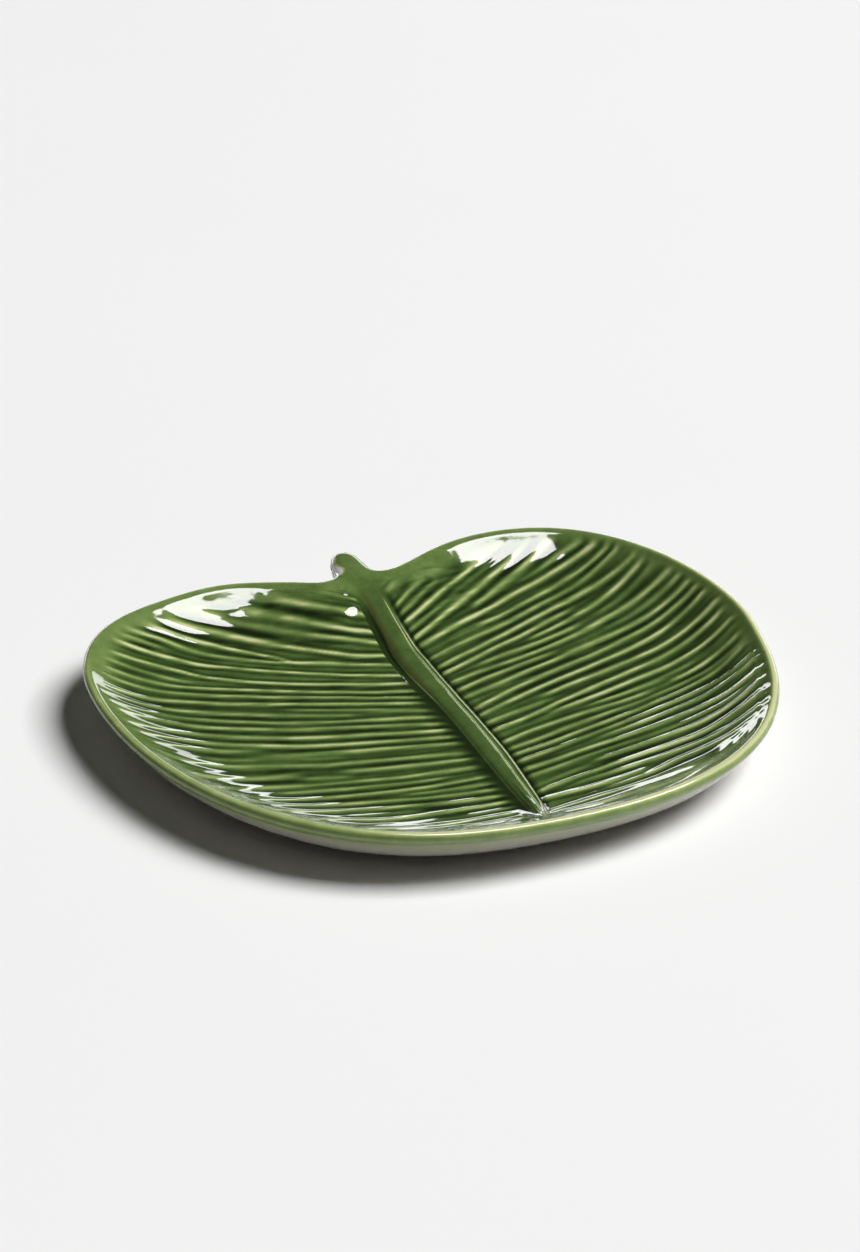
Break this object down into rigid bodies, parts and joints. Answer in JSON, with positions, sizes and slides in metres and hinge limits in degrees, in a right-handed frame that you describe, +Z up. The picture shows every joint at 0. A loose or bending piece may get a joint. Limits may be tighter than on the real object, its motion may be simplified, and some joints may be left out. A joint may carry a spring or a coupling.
{
  "type": "serving plate",
  "caption": "Leaf-shaped glazed earthenware serving plate with a shallow hollow, a raised midrib, a short stalk between two lobes and a foot ring underneath.",
  "frame": {"origin": "centre of the plate's box, on the plane the foot ring stands on", "axes": "+Z up, +Y along the midrib towards the stalk, +X across the two lobes"},
  "size_m": [0.2736, 0.2418, 0.0239],
  "materials": {
    "clear_glazed_clay": "white earthenware under a thin clear gloss glaze with a grey-green cast near the lip",
    "covered_clay": "white fired clay, covered by the green coat",
    "stalk_clay": "white earthenware under a thin clear gloss glaze, green-washed along its upper edge",
    "bare_clay": "unglazed fired clay, fine matte grain",
    "green_glaze": "glossy transparent green glaze, dark where it pools and pale where it runs thin"
  },
  "bodies": {
    "root": {"leaf_body": "clear_glazed_clay", "midrib": "covered_clay", "stalk": "stalk_clay", "foot_ring": "bare_clay", "green_glaze": "green_glaze"}
  },
  "joints": []
}
